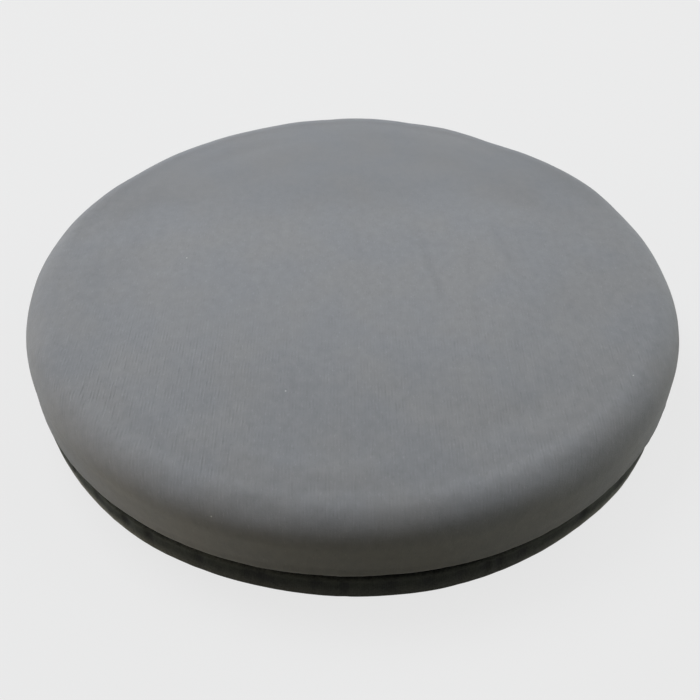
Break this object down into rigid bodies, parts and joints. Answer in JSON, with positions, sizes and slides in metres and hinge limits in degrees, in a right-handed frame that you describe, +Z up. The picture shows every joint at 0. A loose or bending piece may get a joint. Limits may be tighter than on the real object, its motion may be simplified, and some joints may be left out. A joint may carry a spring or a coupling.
{
  "type": "swivel seat cushion",
  "caption": "Round padded seat cushion that turns freely on a ball bearing ring in a low cloth-covered base, with an anti-slip mat underneath.",
  "frame": {"origin": "centre of the underside, on the surface that the cushion lies on", "axes": "+Z up along the swivel axis, -Y towards the viewer"},
  "size_m": [0.4, 0.4, 0.063],
  "materials": {
    "grey_knit": "brushed knit",
    "black_cloth": "matte woven",
    "black_rubber": "matte",
    "black_polypropylene": "fine moulded texture",
    "grey_polypropylene": "fine moulded texture",
    "white_acetal": "smooth",
    "zinc_plated_steel": "bright zinc",
    "bearing_steel": "polished",
    "cream_foam": "open-cell foam",
    "white_elastic": "braided"
  },
  "bodies": {
    "base": {"base_tray": "black_polypropylene", "anti_slip_mat": "black_rubber", "base_cover": "black_cloth", "lower_race": "zinc_plated_steel", "pivot_bolt": "zinc_plated_steel", "bolt_washer": "zinc_plated_steel", "pivot_sleeve": "zinc_plated_steel", "retaining_washer": "zinc_plated_steel", "lock_nut": "zinc_plated_steel", "glide_pad_1": "white_acetal", "glide_pad_2": "white_acetal", "glide_pad_3": "white_acetal", "glide_pad_4": "white_acetal", "glide_pad_5": "white_acetal", "glide_pad_6": "white_acetal", "glide_pad_7": "white_acetal", "glide_pad_8": "white_acetal"},
    "seat": {"swivel_plate": "grey_polypropylene", "upper_race": "zinc_plated_steel", "pivot_bush_lower": "white_acetal", "pivot_bush_upper": "white_acetal", "foam_pad": "cream_foam", "seat_cover": "grey_knit", "cover_elastic": "white_elastic"},
    "cage": {"ball_cage": "white_acetal"},
    "ball_01": {"ball_01": "bearing_steel"},
    "ball_02": {"ball_02": "bearing_steel"},
    "ball_03": {"ball_03": "bearing_steel"},
    "ball_04": {"ball_04": "bearing_steel"},
    "ball_05": {"ball_05": "bearing_steel"},
    "ball_06": {"ball_06": "bearing_steel"},
    "ball_07": {"ball_07": "bearing_steel"},
    "ball_08": {"ball_08": "bearing_steel"},
    "ball_09": {"ball_09": "bearing_steel"},
    "ball_10": {"ball_10": "bearing_steel"},
    "ball_11": {"ball_11": "bearing_steel"},
    "ball_12": {"ball_12": "bearing_steel"},
    "ball_13": {"ball_13": "bearing_steel"},
    "ball_14": {"ball_14": "bearing_steel"},
    "ball_15": {"ball_15": "bearing_steel"},
    "ball_16": {"ball_16": "bearing_steel"},
    "ball_17": {"ball_17": "bearing_steel"},
    "ball_18": {"ball_18": "bearing_steel"}
  },
  "joints": [
    {"name": "seat_swivel", "type": "hinge", "parent": "base", "child": "seat", "pos_m": [0, 0, 0], "axis": [0, 0, 1], "continuous": true},
    {"name": "cage_spin", "type": "hinge", "parent": "base", "child": "cage", "pos_m": [0, 0, 0], "axis": [0, 0, 1], "continuous": true},
    {"name": "ball_01_roll", "type": "hinge", "parent": "cage", "child": "ball_01", "pos_m": [0.11, 0, 0.01355], "axis": [1, 0, 0], "continuous": true},
    {"name": "ball_02_roll", "type": "hinge", "parent": "cage", "child": "ball_02", "pos_m": [0.10337, 0.03762, 0.01355], "axis": [0.9397, 0.342, 0], "continuous": true},
    {"name": "ball_03_roll", "type": "hinge", "parent": "cage", "child": "ball_03", "pos_m": [0.08426, 0.07071, 0.01355], "axis": [0.766, 0.6428, 0], "continuous": true},
    {"name": "ball_04_roll", "type": "hinge", "parent": "cage", "child": "ball_04", "pos_m": [0.055, 0.09526, 0.01355], "axis": [0.5, 0.866, 0], "continuous": true},
    {"name": "ball_05_roll", "type": "hinge", "parent": "cage", "child": "ball_05", "pos_m": [0.0191, 0.10833, 0.01355], "axis": [0.1736, 0.9848, 0], "continuous": true},
    {"name": "ball_06_roll", "type": "hinge", "parent": "cage", "child": "ball_06", "pos_m": [-0.0191, 0.10833, 0.01355], "axis": [-0.1736, 0.9848, 0], "continuous": true},
    {"name": "ball_07_roll", "type": "hinge", "parent": "cage", "child": "ball_07", "pos_m": [-0.055, 0.09526, 0.01355], "axis": [-0.5, 0.866, 0], "continuous": true},
    {"name": "ball_08_roll", "type": "hinge", "parent": "cage", "child": "ball_08", "pos_m": [-0.08426, 0.07071, 0.01355], "axis": [-0.766, 0.6428, 0], "continuous": true},
    {"name": "ball_09_roll", "type": "hinge", "parent": "cage", "child": "ball_09", "pos_m": [-0.10337, 0.03762, 0.01355], "axis": [-0.9397, 0.342, 0], "continuous": true},
    {"name": "ball_10_roll", "type": "hinge", "parent": "cage", "child": "ball_10", "pos_m": [-0.11, 0, 0.01355], "axis": [-1, 0, 0], "continuous": true},
    {"name": "ball_11_roll", "type": "hinge", "parent": "cage", "child": "ball_11", "pos_m": [-0.10337, -0.03762, 0.01355], "axis": [-0.9397, -0.342, 0], "continuous": true},
    {"name": "ball_12_roll", "type": "hinge", "parent": "cage", "child": "ball_12", "pos_m": [-0.08426, -0.07071, 0.01355], "axis": [-0.766, -0.6428, 0], "continuous": true},
    {"name": "ball_13_roll", "type": "hinge", "parent": "cage", "child": "ball_13", "pos_m": [-0.055, -0.09526, 0.01355], "axis": [-0.5, -0.866, 0], "continuous": true},
    {"name": "ball_14_roll", "type": "hinge", "parent": "cage", "child": "ball_14", "pos_m": [-0.0191, -0.10833, 0.01355], "axis": [-0.1736, -0.9848, 0], "continuous": true},
    {"name": "ball_15_roll", "type": "hinge", "parent": "cage", "child": "ball_15", "pos_m": [0.0191, -0.10833, 0.01355], "axis": [0.1736, -0.9848, 0], "continuous": true},
    {"name": "ball_16_roll", "type": "hinge", "parent": "cage", "child": "ball_16", "pos_m": [0.055, -0.09526, 0.01355], "axis": [0.5, -0.866, 0], "continuous": true},
    {"name": "ball_17_roll", "type": "hinge", "parent": "cage", "child": "ball_17", "pos_m": [0.08426, -0.07071, 0.01355], "axis": [0.766, -0.6428, 0], "continuous": true},
    {"name": "ball_18_roll", "type": "hinge", "parent": "cage", "child": "ball_18", "pos_m": [0.10337, -0.03762, 0.01355], "axis": [0.9397, -0.342, 0], "continuous": true}
  ],
  "couplings": [
    {"joint": "cage_spin", "follows": "seat_swivel", "ratio": 0.5},
    {"joint": "ball_01_roll", "follows": "seat_swivel", "ratio": -13.75},
    {"joint": "ball_02_roll", "follows": "seat_swivel", "ratio": -13.75},
    {"joint": "ball_03_roll", "follows": "seat_swivel", "ratio": -13.75},
    {"joint": "ball_04_roll", "follows": "seat_swivel", "ratio": -13.75},
    {"joint": "ball_05_roll", "follows": "seat_swivel", "ratio": -13.75},
    {"joint": "ball_06_roll", "follows": "seat_swivel", "ratio": -13.75},
    {"joint": "ball_07_roll", "follows": "seat_swivel", "ratio": -13.75},
    {"joint": "ball_08_roll", "follows": "seat_swivel", "ratio": -13.75},
    {"joint": "ball_09_roll", "follows": "seat_swivel", "ratio": -13.75},
    {"joint": "ball_10_roll", "follows": "seat_swivel", "ratio": -13.75},
    {"joint": "ball_11_roll", "follows": "seat_swivel", "ratio": -13.75},
    {"joint": "ball_12_roll", "follows": "seat_swivel", "ratio": -13.75},
    {"joint": "ball_13_roll", "follows": "seat_swivel", "ratio": -13.75},
    {"joint": "ball_14_roll", "follows": "seat_swivel", "ratio": -13.75},
    {"joint": "ball_15_roll", "follows": "seat_swivel", "ratio": -13.75},
    {"joint": "ball_16_roll", "follows": "seat_swivel", "ratio": -13.75},
    {"joint": "ball_17_roll", "follows": "seat_swivel", "ratio": -13.75},
    {"joint": "ball_18_roll", "follows": "seat_swivel", "ratio": -13.75}
  ]
}
